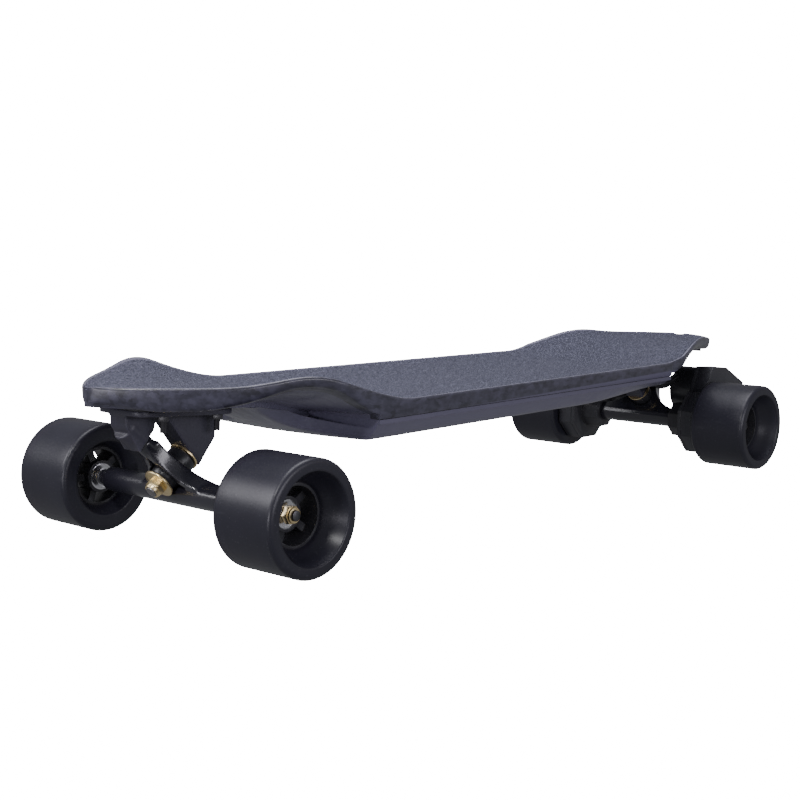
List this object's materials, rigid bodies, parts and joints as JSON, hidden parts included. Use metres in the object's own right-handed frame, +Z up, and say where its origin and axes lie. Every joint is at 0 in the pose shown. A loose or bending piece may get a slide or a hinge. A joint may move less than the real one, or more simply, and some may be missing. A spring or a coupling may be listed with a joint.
{
  "type": "electric skateboard",
  "caption": "Dual belt drive electric longboard: carbon deck on a hull with the battery inside, steering trucks and large urethane wheels.",
  "frame": {"origin": "on the floor under the middle of the deck, half way between nose and tail", "axes": "+X to the nose, +Y to the left side of the board, +Z up"},
  "size_m": [0.8412, 0.304, 0.1417],
  "materials": {
    "carbon_deck": "satin",
    "grip": "gritty",
    "hull_shell": "satin",
    "seal_rubber": "matte",
    "steel": "satin",
    "cell_sleeve": "satin",
    "inner_plastic": "matte",
    "circuit_board": "satin",
    "controller_case": "satin",
    "switch_metal": "brushed",
    "switch_plastic": "gloss",
    "socket_plastic": "satin",
    "bumper_rubber": "matte",
    "pad_rubber": "matte",
    "baseplate_metal": "satin",
    "kingpin_steel": "satin",
    "gold_plated": "gloss",
    "bushing_urethane": "satin",
    "cup_plastic": "satin",
    "black_bolt": "satin",
    "hanger_metal": "gloss",
    "axle_steel": "satin",
    "drive_metal": "satin",
    "motor_can": "satin",
    "copper_winding": "satin",
    "rotor_steel": "satin",
    "pulley_metal": "satin",
    "belt_rubber": "matte",
    "cover_plastic": "satin",
    "cable_jacket": "satin",
    "pulley_plastic": "satin",
    "tyre_urethane": "satin",
    "core_plastic": "satin",
    "bearing_steel": "gloss"
  },
  "bodies": {
    "board": {"deck": "carbon_deck", "grip_tape": "grip", "hull": "hull_shell", "hull_gasket": "seal_rubber", "hull_screws": "steel", "battery_cells": "cell_sleeve", "cell_holders": "inner_plastic", "battery_management_board": "circuit_board", "motor_controller": "controller_case", "power_button_bezel": "switch_metal", "charge_socket": "socket_plastic", "tail_bumper": "bumper_rubber", "shock_pads": "pad_rubber", "front_baseplate": "baseplate_metal", "rear_baseplate": "baseplate_metal", "kingpins": "kingpin_steel", "kingpin_nuts": "gold_plated", "kingpin_washers": "gold_plated", "front_bushings": "bushing_urethane", "rear_bushings": "bushing_urethane", "pivot_cups": "cup_plastic", "deck_bolts": "black_bolt", "deck_nuts": "black_bolt"},
    "front_truck": {"front_hanger": "hanger_metal", "front_axle": "axle_steel", "front_axle_hardware": "gold_plated"},
    "rear_truck": {"rear_hanger": "hanger_metal", "rear_axle": "axle_steel", "rear_axle_hardware": "gold_plated", "left_motor_mount": "drive_metal", "left_motor_housing": "motor_can", "left_motor_stator": "copper_winding", "left_belt": "belt_rubber", "left_belt_cover": "cover_plastic", "left_motor_cable": "cable_jacket", "right_motor_mount": "drive_metal", "right_motor_housing": "motor_can", "right_motor_stator": "copper_winding", "right_belt": "belt_rubber", "right_belt_cover": "cover_plastic", "right_motor_cable": "cable_jacket"},
    "button": {"power_button": "switch_plastic"},
    "front_left_wheel": {"front_left_tyre": "tyre_urethane", "front_left_core": "core_plastic", "front_left_bearings": "bearing_steel"},
    "rear_left_wheel": {"rear_left_tyre": "tyre_urethane", "rear_left_core": "core_plastic", "rear_left_bearings": "bearing_steel", "left_wheel_pulley": "pulley_plastic"},
    "left_motor_shaft": {"left_motor_rotor": "rotor_steel", "left_motor_pulley": "pulley_metal"},
    "front_right_wheel": {"front_right_tyre": "tyre_urethane", "front_right_core": "core_plastic", "front_right_bearings": "bearing_steel"},
    "rear_right_wheel": {"rear_right_tyre": "tyre_urethane", "rear_right_core": "core_plastic", "rear_right_bearings": "bearing_steel", "right_wheel_pulley": "pulley_plastic"},
    "right_motor_shaft": {"right_motor_rotor": "rotor_steel", "right_motor_pulley": "pulley_metal"}
  },
  "joints": [
    {"name": "front_steer", "type": "hinge", "parent": "board", "child": "front_truck", "pos_m": [0.3408, 0, 0.064], "axis": [0.766, 0, 0.6428], "range_deg": [-15, 15], "stiffness_Nm_per_rad": 45, "deforming": ["front_bushings"]},
    {"name": "rear_steer", "type": "hinge", "parent": "board", "child": "rear_truck", "pos_m": [-0.3478, 0, 0.064], "axis": [-0.766, 0, 0.6428], "range_deg": [-10, 10], "stiffness_Nm_per_rad": 60, "deforming": ["rear_bushings", "left_motor_cable", "right_motor_cable"]},
    {"name": "front_left_wheel_spin", "type": "hinge", "parent": "front_truck", "child": "front_left_wheel", "pos_m": [0.334, 0.121, 0.045], "axis": [0, 1, 0], "continuous": true},
    {"name": "front_right_wheel_spin", "type": "hinge", "parent": "front_truck", "child": "front_right_wheel", "pos_m": [0.334, -0.121, 0.045], "axis": [0, 1, 0], "continuous": true},
    {"name": "rear_left_wheel_spin", "type": "hinge", "parent": "rear_truck", "child": "rear_left_wheel", "pos_m": [-0.341, 0.121, 0.045], "axis": [0, 1, 0], "continuous": true},
    {"name": "rear_right_wheel_spin", "type": "hinge", "parent": "rear_truck", "child": "rear_right_wheel", "pos_m": [-0.341, -0.121, 0.045], "axis": [0, 1, 0], "continuous": true},
    {"name": "left_motor_spin", "type": "hinge", "parent": "rear_truck", "child": "left_motor_shaft", "pos_m": [-0.381, 0.045, 0.075], "axis": [0, 1, 0], "continuous": true},
    {"name": "right_motor_spin", "type": "hinge", "parent": "rear_truck", "child": "right_motor_shaft", "pos_m": [-0.381, -0.045, 0.075], "axis": [0, 1, 0], "continuous": true},
    {"name": "power_button_press", "type": "slide", "parent": "board", "child": "button", "axis": [0, 1, 0], "range_m": [0, 0.0012], "stiffness_N_per_m": 300}
  ],
  "couplings": [
    {"joint": "left_motor_spin", "follows": "rear_left_wheel_spin", "ratio": 2.25},
    {"joint": "right_motor_spin", "follows": "rear_right_wheel_spin", "ratio": 2.25}
  ]
}
